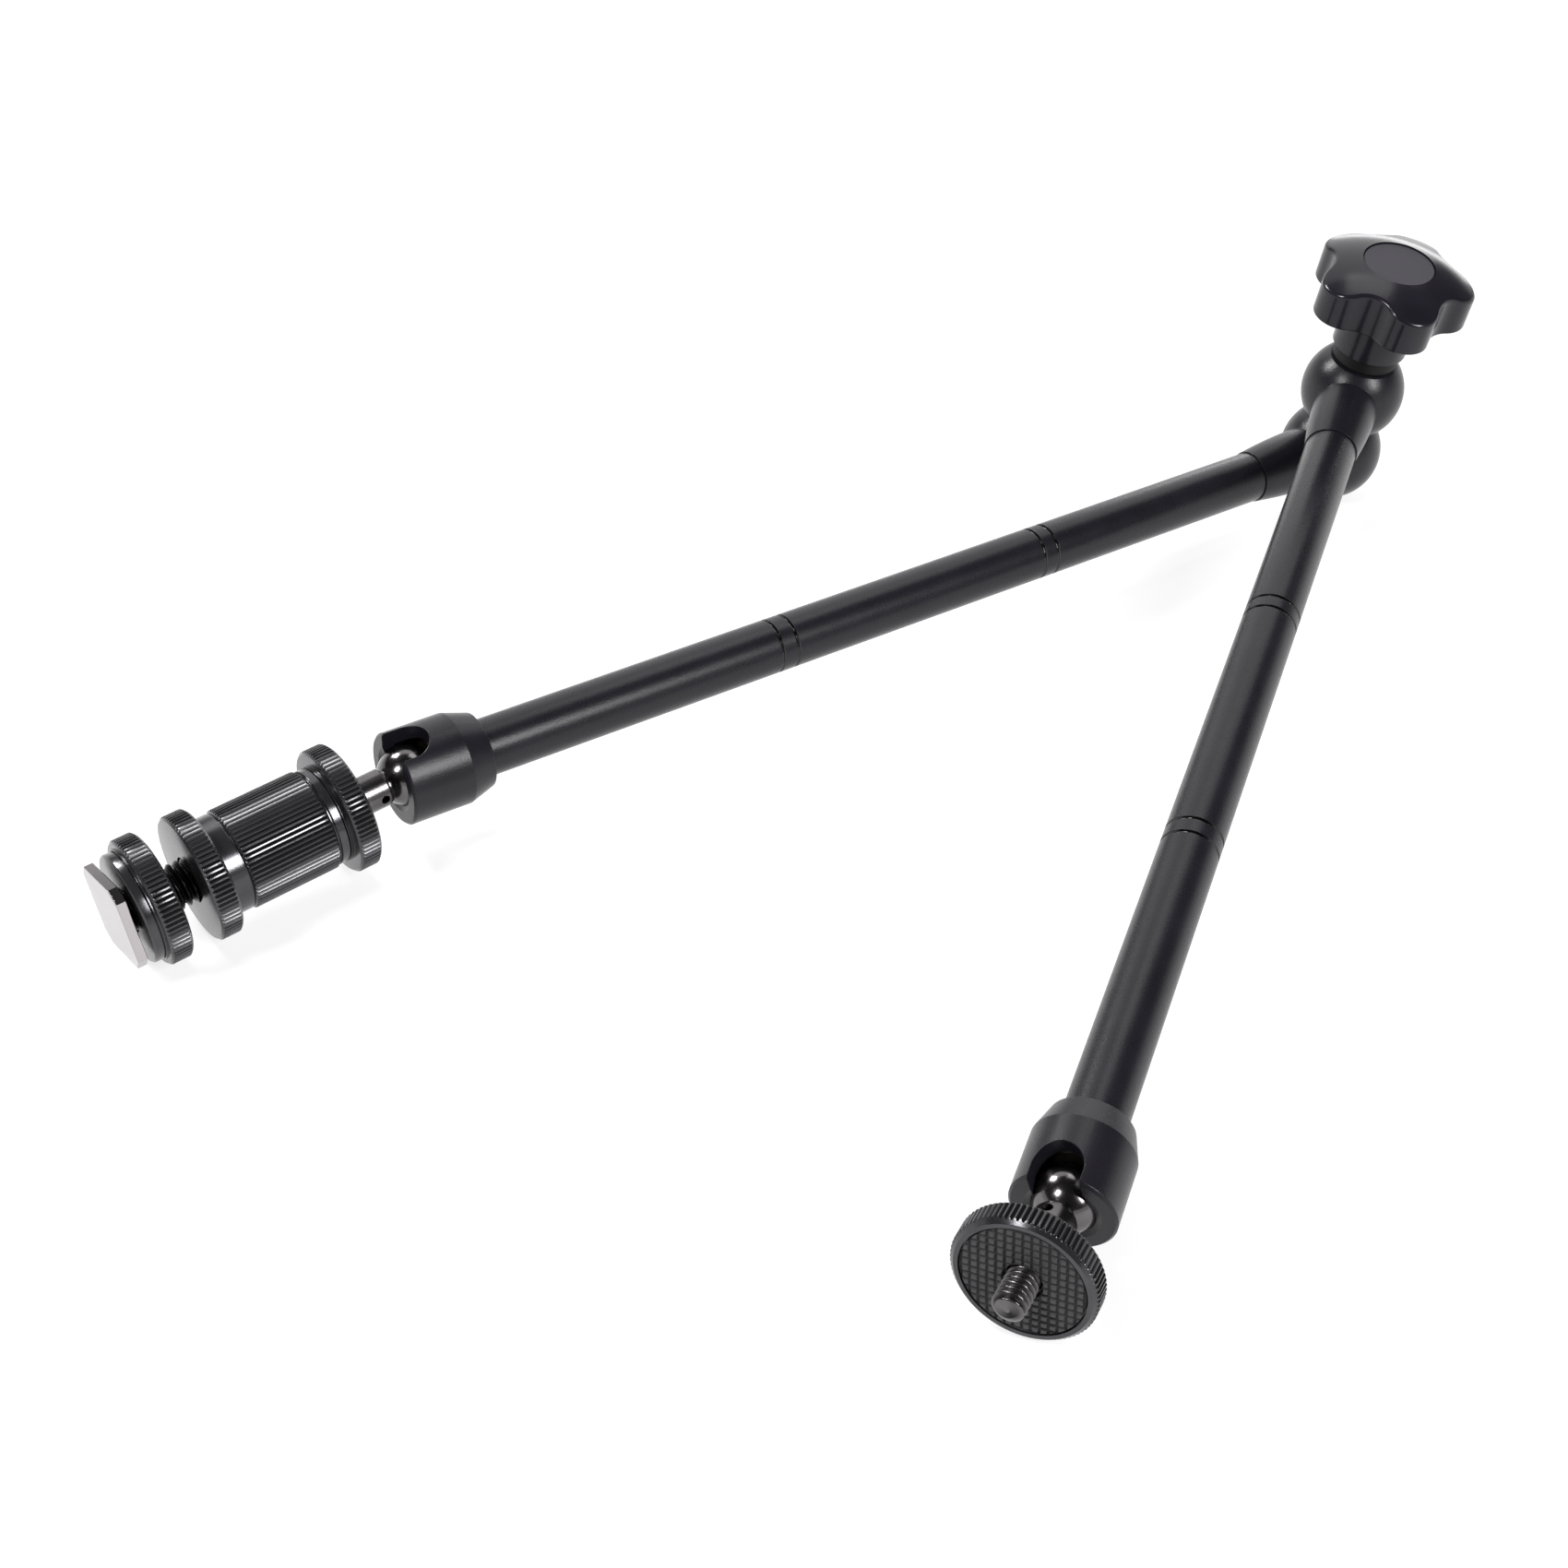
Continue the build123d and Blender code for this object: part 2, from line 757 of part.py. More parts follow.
# the three things that meet the table, each as the circles that may touch it
camera_rims = [
    (camera_ball + camera_axis * (camera_disc_place + disc_edge), camera_axis, disc_r),
    (camera_ball + camera_axis * (camera_face - camera_face_edge), camera_axis, disc_r),
]
shoe_rims = [
    (shoe_ball + shoe_axis * (clamp_disc_place + disc_edge), shoe_axis, disc_r),
    (shoe_ball + shoe_axis * (clamp_disc_face - disc_edge), shoe_axis, disc_r),
    (shoe_ball + shoe_axis * (lock_disc_place + disc_thickness - disc_edge), shoe_axis, disc_r),
]
knuckle_rims = [(up * -lower_flat, up, lower_flat_r)]
normal = Vector(0.1, 0, 1).normalized()
for step in range(40):
    contacts = []
    for rims in (knuckle_rims, camera_rims, shoe_rims):
        contacts.append(min((lowest(rim, normal) for rim in rims), key=normal.dot))
    normal = (contacts[1] - contacts[0]).cross(contacts[2] - contacts[0]).normalized()
    if normal.Z < 0:
        normal = normal * -1

bisector = (upper_axis + lower_axis).normalized()
ahead = (bisector - normal * bisector.dot(normal)).normalized()
lying = Plane(origin=contacts[0], x_dir=ahead, z_dir=normal)
turned = {}
for name, piece in pieces.items():
    turned[name] = lying.to_local_coords(piece.part)
boxes = [piece.bounding_box() for piece in turned.values()]
middle_x = (min(box.min.X for box in boxes) + max(box.max.X for box in boxes)) / 2
middle_y = (min(box.min.Y for box in boxes) + max(box.max.Y for box in boxes)) / 2
resting = Location((-middle_x, -middle_y, -min(box.min.Z for box in boxes)))

for name in pieces:
    placed = turned[name].moved(resting)
    placed.label = name
    export_step(placed, f"parts/{name}.step")
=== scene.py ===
"""Looks of an articulating friction arm: two tubes, a locking knuckle and two ball heads."""

import json
import math

import bmesh
import bpy
import numpy as np
from bpy.props import FloatProperty, FloatVectorProperty, IntProperty, PointerProperty
from mathutils import Matrix, Vector


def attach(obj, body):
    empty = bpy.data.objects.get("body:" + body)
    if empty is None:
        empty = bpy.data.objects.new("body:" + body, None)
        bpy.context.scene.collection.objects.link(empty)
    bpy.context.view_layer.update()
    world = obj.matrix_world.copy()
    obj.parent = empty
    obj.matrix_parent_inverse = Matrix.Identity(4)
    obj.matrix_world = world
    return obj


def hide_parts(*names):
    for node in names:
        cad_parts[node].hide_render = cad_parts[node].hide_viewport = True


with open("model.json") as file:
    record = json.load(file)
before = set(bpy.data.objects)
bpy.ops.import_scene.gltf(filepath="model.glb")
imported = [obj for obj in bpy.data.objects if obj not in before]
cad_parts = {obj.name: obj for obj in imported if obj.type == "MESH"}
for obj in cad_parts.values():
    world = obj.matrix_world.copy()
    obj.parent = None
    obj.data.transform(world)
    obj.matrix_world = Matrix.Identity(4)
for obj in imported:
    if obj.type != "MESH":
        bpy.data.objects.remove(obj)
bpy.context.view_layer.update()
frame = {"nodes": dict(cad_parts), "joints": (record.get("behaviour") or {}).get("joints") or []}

bl_info = {
    "name": "Friction Arm Looks",
    "version": (1, 0, 0),
    "blender": (4, 5, 0),
    "location": "3D View > Sidebar > Friction Arm",
    "description": "Dresses the packed friction arm with fine surfaces, finishes and a studio",
    "category": "Object",
}

MM = 0.001
TINY = 1e-9

# turns of a profile, in radians: below the first a corner stays, above the second it is a fold
STRAIGHT, FOLDED = 0.05, 3.0

# angles between faces, in degrees, from which an edge stays sharp
SHARP, THREAD_SHARP, PAD_SHARP = 12.0, 50.0, 60.0

# points round one tooth of a knurl
TOOTH_POINTS = 8

# lamps: place, width, height and glow. All of them face the frame's origin.
PANELS = {
    "wall_left": ((-0.93, -0.70, 0.80), 1.7, 1.2, 1.35),
    "wall_top": ((-0.47, -0.17, 0.95), 0.40, 0.30, 2.6),
    "wall_back": ((-1.55, -0.41, 0.17), 0.9, 0.16, 5.0),
    "softbox_left": ((0.03, -0.75, 0.60), 0.20, 0.26, 38.0),
    "softbox_front": ((0.66, -0.20, 0.72), 0.16, 0.24, 38.0),
    "softbox_right": ((0.09, 1.28, 1.03), 0.36, 0.66, 28.0),
}


# Places taken from the frame

def unit(vector):
    """The vector divided by its length."""
    vector = np.array(vector, float)
    return vector / np.linalg.norm(vector)


def corners(node):
    """All vertices of a CAD node as one array."""
    mesh = frame["nodes"][node].data
    flat = np.empty(3 * len(mesh.vertices), np.float32)
    mesh.vertices.foreach_get("co", flat)
    return flat.reshape(-1, 3).astype(float)


class Line:
    """A straight axis of the arm: a point, its direction and two sides square to it.

    The first side is a reference direction with its share along the line taken out, and
    the second is the line's direction crossed with the first.
    """

    def __init__(self, point, along, reference):
        self.point = np.array(point, float)
        self.along = unit(along)
        reference = np.array(reference, float)
        self.first = unit(reference - self.along * (reference @ self.along))
        self.second = np.cross(self.along, self.first)

    def place(self, distance, radius, angle):
        """point + distance * along + radius * (cos(angle) * first + sin(angle) * second)."""
        distance, radius, angle = np.broadcast_arrays(distance, radius, angle)
        return (
            self.point
            + np.multiply.outer(distance, self.along)
            + np.multiply.outer(radius * np.cos(angle), self.first)
            + np.multiply.outer(radius * np.sin(angle), self.second)
        )

    def measure(self, node):
        """Start, end and largest radius of a CAD node about this line."""
        offset = corners(node) - self.point
        distance = offset @ self.along
        radius = np.linalg.norm(offset - np.outer(distance, self.along), axis=1)
        return distance.min(), distance.max(), radius.max()


joints = {joint["name"]: joint for joint in frame["joints"]}
pivot = np.array(joints["knuckle_pivot"]["pos_m"])
pivot_axis = unit(joints["knuckle_pivot"]["axis"])
upper_along = -unit(joints["upper_rod_travel"]["axis"])
lower_along = -unit(joints["lower_rod_travel"]["axis"])
camera_ball = np.array(joints["camera_fold"]["pos_m"])
shoe_ball = np.array(joints["shoe_fold"]["pos_m"])


def arm_line(ball, along):
    """Axis of an arm, from the point on the pivot axis that it starts at.

    The line ball - t * along meets the pivot axis where its offset square to that axis is
    none: t = (ball - pivot) . side / along . side, with side the arm's share square to it.
    """
    side = unit(along - pivot_axis * (along @ pivot_axis))
    return Line(ball - along * ((ball - pivot) @ side / (along @ side)), along, pivot_axis)


KNUCKLE = Line(pivot, pivot_axis, upper_along)
UPPER = arm_line(camera_ball, upper_along)
LOWER = arm_line(shoe_ball, lower_along)
CAMERA = Line(camera_ball, joints["camera_disc_travel"]["axis"], pivot_axis)
SHOE = Line(shoe_ball, joints["shoe_spin"]["axis"], pivot_axis)


# Surfaces worked out as arrays

def between(start, end, steps):
    """Points on the straight run from one profile point to another, both included."""
    weight = np.linspace(0, 1, steps + 1)[:, None]
    return list(np.array(start, float) * (1 - weight) + np.array(end, float) * weight)


def rounded(points, radius, steps=3):
    """A profile with every inner corner replaced by an arc.

    At a corner P between unit directions a (back) and b (on) the arc's ends lie at
    P + t*a and P + t*b with t = radius * tan(turn / 2), cut to 0.45 of either side, and
    the points between follow (1-w)^2 * start + 2w(1-w) * P + w^2 * end.
    """
    points = np.array(points, float)
    weight = np.linspace(0, 1, steps + 1)[:, None]
    result = [points[0]]
    for before, corner, after in zip(points[:-2], points[1:-1], points[2:]):
        back, on = before - corner, after - corner
        room = 0.45 * min(np.linalg.norm(back), np.linalg.norm(on))
        back, on = unit(back), unit(on)
        turn = math.pi - math.acos(np.clip(back @ on, -1, 1))
        if turn < STRAIGHT:
            result.append(corner)
            continue
        reach = min(radius * math.tan(turn / 2), room) if turn < FOLDED else room
        start, end = corner + back * reach, corner + on * reach
        arc = (1 - weight) ** 2 * start + 2 * weight * (1 - weight) * corner + weight**2 * end
        result.extend(arc)
    result.append(points[-1])
    return np.array(result)


def divided(profile, step):
    """The profile with extra points, so that no run is longer than the step."""
    result = [profile[:1]]
    for start, end in zip(profile[:-1], profile[1:]):
        parts = max(1, math.ceil(np.linalg.norm(end - start) / step))
        weight = np.linspace(0, 1, parts + 1)[1:, None]
        result.append(start * (1 - weight) + end * weight)
    return np.concatenate(result)


def skin(name, grid, material, looped=False, sharp=SHARP, hollow=None):
    """A mesh over a grid of points, rings first and points around each ring second.

    Ring i and point j join (i, j), (i, j+1), (i+1, j+1) and (i+1, j), around each ring and,
    if looped, from the last ring back to the first. A ring with no size becomes one pole.
    Hollow, from 0 to 1 for each point, tells the materials how far down in a groove it lies, and
    they paint shade there.
    """
    rings, around = grid.shape[:2]
    index = np.arange(rings * around).reshape(rings, around)
    size = np.abs(grid - grid[:, :1]).max(axis=(1, 2))
    index[size < TINY] = index[size < TINY, :1]
    if looped:
        index = np.concatenate([index, index[:1]])
    index = np.concatenate([index, index[:, :1]], axis=1)
    quads = np.stack([index[:-1, :-1], index[:-1, 1:], index[1:, 1:], index[1:, :-1]], axis=-1)
    quads = quads.reshape(-1, 4)
    faces = [
        quads[(quads[:, 0] != quads[:, 1]) & (quads[:, 2] != quads[:, 3])],
        quads[quads[:, 0] == quads[:, 1]][:, 1:],
        quads[quads[:, 2] == quads[:, 3]][:, :3],
    ]
    chain = np.concatenate([part.ravel() for part in faces])
    used, loops = np.unique(chain, return_inverse=True)
    sides = np.concatenate([np.full(len(part), part.shape[1]) for part in faces])
    mesh = bpy.data.meshes.new(name)
    mesh.vertices.add(len(used))
    mesh.vertices.foreach_set("co", grid.reshape(-1, 3)[used].astype(np.float32).ravel())
    mesh.loops.add(len(chain))
    mesh.loops.foreach_set("vertex_index", loops.ravel().astype(np.int32))
    mesh.polygons.add(len(sides))
    mesh.polygons.foreach_set("loop_start", (np.cumsum(sides) - sides).astype(np.int32))
    mesh.update(calc_edges=True)
    if hollow is not None:
        mesh.attributes.new("hollow", "FLOAT", "POINT")
        mesh.attributes["hollow"].data.foreach_set("value", hollow.ravel()[used])
    return show(name, mesh, material, sharp)


def show(name, mesh, material, sharp):
    """Turns a mesh's faces outwards, smooths it up to a sharp angle and links it."""
    shape = bmesh.new()
    shape.from_mesh(mesh)
    bmesh.ops.recalc_face_normals(shape, faces=shape.faces)
    shape.to_mesh(mesh)
    shape.free()
    mesh.shade_smooth()
    mesh.set_sharp_from_angle(angle=math.radians(sharp))
    mesh.materials.append(material)
    piece = bpy.data.objects.new(name, mesh)
    bpy.context.scene.collection.objects.link(piece)
    return piece


def turned(name, line, profile, material, around, ripple=None, lift=None, sharp=SHARP):
    """Surface of revolution: ring i has distance d[i] and radius r[i] about the line.

    Where the profile leaves the axis and comes back to it, it ends in poles, and otherwise
    its last ring joins its first. Ripple and lift are functions of distance, radius and
    angle that give the change of radius and of distance.
    """
    profile = np.array(profile, float)
    looped = profile[0, 1] > TINY
    angle = np.linspace(0, math.tau, around, endpoint=False)
    distance, radius, angle = np.broadcast_arrays(profile[:, :1], profile[:, 1:], angle)
    flat = np.zeros(distance.shape)
    outward = ripple(distance, radius, angle) if ripple else flat
    onward = lift(distance, radius, angle) if lift else flat
    hollow = np.abs(outward + onward)
    hollow = (hollow / max(hollow.max(), TINY)).astype(np.float32)
    grid = line.place(distance + onward, radius + outward, angle)
    return skin(name, grid, material, looped, sharp, hollow)


def thread(pitch, depth, start, end, crest=0.15, core=0.5 * MM):
    """Ripple of a right-hand thread between two distances.

    With the phase p = distance / pitch - angle / turn, the radius falls by depth times a
    trapezoid wave of p: none on the crest and all of it in the root. It fades in over half
    a pitch at the start and out over a tenth at the end, and leaves the core whole.
    """
    def ripple(distance, radius, angle):
        phase = np.mod(distance / pitch - angle / math.tau, 1.0)
        wave = np.clip((1 - np.abs(2 * phase - 1)) * (1 + 2 * crest) - crest, 0, 1)
        fade = np.clip((distance - start) / (pitch / 2), 0, 1)
        fade = fade * np.clip((end - distance) / (pitch / 10), 0, 1)
        return -np.minimum(depth * wave * fade, np.maximum(radius - core, 0))
    return ripple


def knurl(teeth, depth, outer, start, end, crest=0.25):
    """Ripple of straight V-shaped valleys between two distances.

    With t = |2 * fraction(teeth * angle / turn) - 1|, which is 1 on a crest and 0 in a
    valley, the radius is cut to outer - depth * (1 - t / (1 - crest)) where it is larger.
    """
    def ripple(distance, radius, angle):
        tooth = np.abs(2 * np.mod(teeth * angle / math.tau, 1.0) - 1)
        wave = np.clip(1 - tooth / (1 - crest), 0, 1)
        banded = (distance >= start) & (distance <= end)
        return np.where(banded, np.minimum(outer - depth * wave, radius) - radius, 0)
    return ripple


def cross_hole(place, hole, angle_at, depth):
    """Ripple of a blind hole on both sides of a stem.

    Where (distance - place)^2 + (radius * sin(angle - angle_at))^2 < hole^2 the radius
    falls by the depth.
    """
    def ripple(distance, radius, angle):
        aside = radius * np.sin(angle - angle_at)
        inside = (distance - place) ** 2 + aside**2 < hole**2
        return np.where(inside, -depth, 0.0)
    return ripple


def both(first, second):
    """Sum of two ripples."""
    def ripple(distance, radius, angle):
        return first(distance, radius, angle) + second(distance, radius, angle)
    return ripple


def dressed(piece, node, body):
    """The piece stands for a CAD node, whose mesh it hides, and rides on its body."""
    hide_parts(node)
    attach(piece, body)


# Shader maths

class Value:
    """A number socket in a material. Arithmetic on it adds Math nodes."""

    def __init__(self, finish, socket):
        self.finish = finish
        self.socket = socket

    def math(self, operation, first, second):
        made = self.finish.node("ShaderNodeMath", {"operation": operation}, {0: first, 1: second})
        return Value(self.finish, made.outputs[0])

    def __add__(self, other):
        return self.math("ADD", self, other)

    def __radd__(self, other):
        return self.math("ADD", other, self)

    def __sub__(self, other):
        return self.math("SUBTRACT", self, other)

    def __rmul__(self, other):
        return self.math("MULTIPLY", other, self)


class Finish:
    """A material under construction, with its output and its main shader."""

    def __init__(self, name, **sockets):
        self.material = bpy.data.materials.new(name)
        self.material.use_nodes = True
        self.tree = self.material.node_tree
        self.tree.nodes.clear()
        self.shader = self.node("ShaderNodeBsdfPrincipled", {}, sockets)
        self.node("ShaderNodeOutputMaterial", {}, {"Surface": self.shader.outputs[0]})
        self.place = self.node("ShaderNodeTexCoord", {}, {}).outputs["Object"]

    def node(self, kind, settings, sockets):
        """Adds a node, applies its settings and gives its sockets their values or links."""
        made = self.tree.nodes.new(kind)
        for name, value in settings.items():
            setattr(made, name, value)
        for name, value in sockets.items():
            self.feed(made.inputs[name], value)
        return made

    def feed(self, socket, value):
        """Links a socket, or sets the number or colour that it holds."""
        if isinstance(value, Value):
            value = value.socket
        if isinstance(value, bpy.types.NodeSocket):
            self.tree.links.new(value, socket)
        elif hasattr(value, "__len__") and len(value) == 3 and len(socket.default_value) == 4:
            socket.default_value = (*value, 1.0)
        else:
            socket.default_value = value

    def attribute(self, name):
        """The mesh's own number of that name, 0 where the mesh has none."""
        made = self.node("ShaderNodeAttribute", {"attribute_name": name}, {})
        return Value(self, made.outputs["Fac"])

    def noise(self, size, detail=2.0, rough=0.5):
        """Noise from 0 to 1 whose grains are about the given size, in metres."""
        sockets = {"Vector": self.place, "Scale": 1 / size, "Detail": detail, "Roughness": rough}
        made = self.node("ShaderNodeTexNoise", {}, sockets)
        return Value(self, made.outputs[0])

    def band(self, value, low, high):
        """The value's range from low to high stretched over 0 to 1 and cut off there."""
        sockets = {0: value, 1: low, 2: high, 3: 0.0, 4: 1.0}
        made = self.node("ShaderNodeMapRange", {"clamp": True}, sockets)
        return Value(self, made.outputs[0])

    def blend(self, factor, first, second):
        """Colour that runs from the first to the second as the factor goes from 0 to 1."""
        made = self.node("ShaderNodeMix", {"data_type": "RGBA"}, {0: factor, 6: first, 7: second})
        return made.outputs[2]

    def relief(self, height, depth, edge):
        """Bumps of the given depth, over edges rounded to a radius, fed to the normal."""
        sockets = {"Height": height, "Distance": depth, "Strength": 1.0}
        if edge > 0:
            corner = self.node("ShaderNodeBevel", {"samples": 4}, {"Radius": edge})
            sockets["Normal"] = corner.outputs[0]
        bump = self.node("ShaderNodeBump", {}, sockets)
        self.feed(self.shader.inputs["Normal"], bump.outputs[0])

    def set(self, **sockets):
        """Feeds the main shader's sockets, with spaces written as underscores."""
        for name, value in sockets.items():
            self.feed(self.shader.inputs[name.replace("_", " ")], value)


def coat(name, dark, light, rough, grain, depth, edge=0, metal=0, mirror=0.5, groove_shade=0.12):
    """A coat with fine grain, a cloudy tone from dark to light, and painted shade that darkens
    grooves, valleys and holes.
    """
    cloud_size, cloud_range, groove_shade_range = 9 * MM, (0.3, 0.7), (0.05, 0.5)
    fine_share, cloud_share, groove_share, middle = 0.10, 0.03, 0.25, 0.5
    made = Finish(name, Metallic=metal, IOR=1.5)
    made.set(Specular_IOR_Level=mirror)
    fine = made.noise(grain, detail=3.0, rough=0.6)
    cloud = made.noise(cloud_size)
    hollow = made.attribute("hollow")
    tone = made.blend(made.band(cloud, *cloud_range), dark, light)
    # Painted shade: the colour falls from the tone towards the dark colour times the groove
    # factor, the further down in a groove, valley or hole.
    shade = made.band(hollow, *groove_shade_range)
    made.set(Base_Color=made.blend(shade, tone, times(dark, groove_shade)))
    rough = rough + fine_share * (fine - middle) + cloud_share * (cloud - middle)
    made.set(Roughness=rough + groove_share * hollow)
    made.relief(fine, depth, edge)


def times(colour, factor):
    """The colour with each part multiplied by a factor."""
    return [factor * part for part in colour]


def finishes():
    """The materials by name, each made once."""
    arm = bpy.context.scene.arm_looks
    made = bpy.data.materials
    if "anodised_satin" in made:
        return made
    coat(
        "anodised_satin", times(arm.anodised, 1.3), times(arm.anodised, 1.7),
        rough=0.29, grain=0.32 * MM, depth=0.030 * MM, edge=arm.edge, mirror=0.3,
    )
    coat(
        "tube_satin", times(arm.anodised, 1.3), times(arm.anodised, 1.7),
        rough=0.28, grain=0.30 * MM, depth=0.030 * MM, mirror=0.3,
    )
    coat(
        "groove_gloss", times(arm.steel, 0.5), times(arm.steel, 0.6),
        rough=0.16, grain=0.30 * MM, depth=0.001 * MM, metal=1.0,
    )
    # The knurl's valleys get a strong painted shade.
    coat(
        "knurled_satin", arm.knurled, times(arm.knurled, 1.4),
        rough=0.19, grain=0.24 * MM, depth=0.005 * MM, metal=0.8, groove_shade=0.3,
    )
    coat(
        "moulded_satin", arm.moulded, times(arm.moulded, 1.3),
        rough=0.18, grain=0.35 * MM, depth=0.003 * MM, mirror=0.3,
    )
    coat(
        "cap_matt", arm.cap, times(arm.cap, 1.2),
        rough=0.42, grain=0.20 * MM, depth=0.004 * MM, mirror=0.3,
    )
    coat(
        "stud_steel", arm.steel, times(arm.steel, 1.5),
        rough=0.25, grain=0.28 * MM, depth=0.010 * MM, metal=1.0,
    )
    coat(
        "ball_polish", times(arm.steel, 1.2), times(arm.steel, 1.5),
        rough=0.17, grain=0.5 * MM, depth=0.001 * MM, metal=1.0,
    )
    coat(
        "black_thread", times(arm.steel, 0.25), times(arm.steel, 0.35),
        rough=0.24, grain=0.22 * MM, depth=0.004 * MM, metal=0.9,
    )
    coat(
        "foot_chrome", times(arm.steel, 3.9), times(arm.steel, 4.2),
        rough=0.12, grain=0.3 * MM, depth=0.001 * MM, metal=1.0,
    )
    # The grooves between the pad's studs get a strong painted shade.
    coat(
        "pad_rubber", arm.rubber, times(arm.rubber, 1.3),
        rough=0.55, grain=0.20 * MM, depth=0.012 * MM, groove_shade=0.65,
    )
    coat(
        "bright_steel", (0.45, 0.45, 0.46), (0.55, 0.55, 0.56),
        rough=0.28, grain=0.3 * MM, depth=0.004 * MM, metal=1.0,
    )
    coat(
        "seat_brass", (0.030, 0.026, 0.022), (0.040, 0.034, 0.028),
        rough=0.3, grain=0.3 * MM, depth=0.004 * MM, metal=0.8,
    )
    # Near-black nylon washers, darker than the other black parts: partly their own black and
    # partly painted shade of the gap under the knob's hub.
    coat(
        "washer_nylon", (0.003, 0.003, 0.003), (0.004, 0.004, 0.004),
        rough=0.55, grain=0.2 * MM, depth=0.004 * MM, mirror=0.2,
    )
    return made


def paint(finish, *nodes):
    """Gives CAD nodes one finish."""
    for node in nodes:
        slots = frame["nodes"][node].data.materials
        slots.clear()
        slots.append(finishes()[finish])


def paint_part(piece, line, finish, inside):
    """Gives a second finish to the faces whose middle lies inside, which tells it from
    the arrays of their distance along the line and their distance from it."""
    mesh = piece.data
    mesh.materials.append(finishes()[finish])
    flat = np.empty(3 * len(mesh.polygons), np.float32)
    mesh.polygons.foreach_get("center", flat)
    offset = flat.reshape(-1, 3) - line.point
    along = offset @ line.along
    out = np.linalg.norm(offset - np.outer(along, line.along), axis=1)
    mesh.polygons.foreach_set("material_index", inside(along, out).astype(np.int32))


# Sizes and colours that a user would change

class ArmSettings(bpy.types.PropertyGroup):
    """Colours of the pieces and the rounding of their edges."""

    anodised: FloatVectorProperty(
        name="Anodised colour",
        description="Colour of the tubes, knuckles and sockets",
        subtype="COLOR",
        size=3,
        default=(0.0065, 0.0060, 0.0085),
    )
    knurled: FloatVectorProperty(
        name="Knurled colour",
        description="Colour of the knurled discs and the barrel",
        subtype="COLOR",
        size=3,
        default=(0.055, 0.054, 0.058),
    )
    moulded: FloatVectorProperty(
        name="Knob colour",
        description="Colour of the moulded knob",
        subtype="COLOR",
        size=3,
        default=(0.0095, 0.0085, 0.0125),
    )
    cap: FloatVectorProperty(
        name="Cap colour",
        description="Colour of the cap in the knob",
        subtype="COLOR",
        size=3,
        default=(0.020, 0.018, 0.026),
    )
    steel: FloatVectorProperty(
        name="Dark steel colour",
        description="Colour of the blackened steel studs and screws",
        subtype="COLOR",
        size=3,
        default=(0.100, 0.094, 0.096),
    )
    rubber: FloatVectorProperty(
        name="Rubber colour",
        description="Colour of the camera pad",
        subtype="COLOR",
        size=3,
        default=(0.030, 0.029, 0.031),
    )
    edge: FloatProperty(
        name="Edge rounding",
        description="Radius of the broken edges on knuckles and sockets",
        subtype="DISTANCE",
        unit="LENGTH",
        default=0.25 * MM,
    )


class HeadSettings(bpy.types.PropertyGroup):
    """Knurls, threads and the rubber pad of the two heads."""

    disc_teeth: IntProperty(
        name="Disc teeth", description="Ridges round each knurled disc", default=80
    )
    barrel_teeth: IntProperty(
        name="Barrel teeth", description="Ridges round the barrel", default=66
    )
    knurl_depth: FloatProperty(
        name="Knurl depth",
        description="Depth of the valleys between the ridges",
        subtype="DISTANCE",
        unit="LENGTH",
        default=0.4 * MM,
    )
    camera_pitch: FloatProperty(
        name="Camera screw pitch",
        description="Distance between two turns of the camera screw",
        subtype="DISTANCE",
        unit="LENGTH",
        default=1.27 * MM,
    )
    shoe_pitch: FloatProperty(
        name="Shoe screw pitch",
        description="Distance between two turns of the shoe head's screw",
        subtype="DISTANCE",
        unit="LENGTH",
        default=1.5875 * MM,
    )
    stud_pitch: FloatProperty(
        name="Pad stud pitch",
        description="Distance between the small studs of the rubber pad",
        subtype="DISTANCE",
        unit="LENGTH",
        default=1.6 * MM,
    )
    stud_turn: FloatProperty(
        name="Pad turn",
        description="Turn of the pad's rows about its own axis",
        subtype="ANGLE",
        default=math.radians(15.0),
    )


class StageSettings(bpy.types.PropertyGroup):
    """The camera that the photo was taken with, the floor and the light."""

    focal: FloatProperty(
        name="Focal length", description="Lens in millimetres on a 36 mm frame", default=52.20
    )
    pivot_seen: FloatVectorProperty(
        name="Pivot as seen",
        description="Place of the knuckle's middle, right, down and ahead of the camera",
        subtype="XYZ",
        unit="LENGTH",
        size=3,
        default=(0.14342, -0.09405, 0.58545),
    )
    axis_seen: FloatVectorProperty(
        name="Pivot axis as seen",
        description="Direction of the pivot axis, right, down and ahead of the camera",
        size=3,
        default=(0.122403, -0.676201, -0.726478),
    )
    arm_seen: FloatVectorProperty(
        name="Upper arm as seen",
        description="Direction of the upper arm, right, down and ahead of the camera",
        size=3,
        default=(-0.356714, 0.656595, -0.664558),
    )
    floor: FloatVectorProperty(
        name="Floor colour",
        description="Colour of the pale floor",
        subtype="COLOR",
        size=3,
        default=(0.30, 0.30, 0.30),
    )
    floor_glow: FloatProperty(
        name="Floor glow", description="Light that the floor gives by itself", default=0.76
    )
    sky: FloatProperty(name="Sky brightness", description="Light from all sides", default=0.05)


SETTINGS = {"arm_looks": ArmSettings, "head_looks": HeadSettings, "stage_looks": StageSettings}


# One step for each piece or group

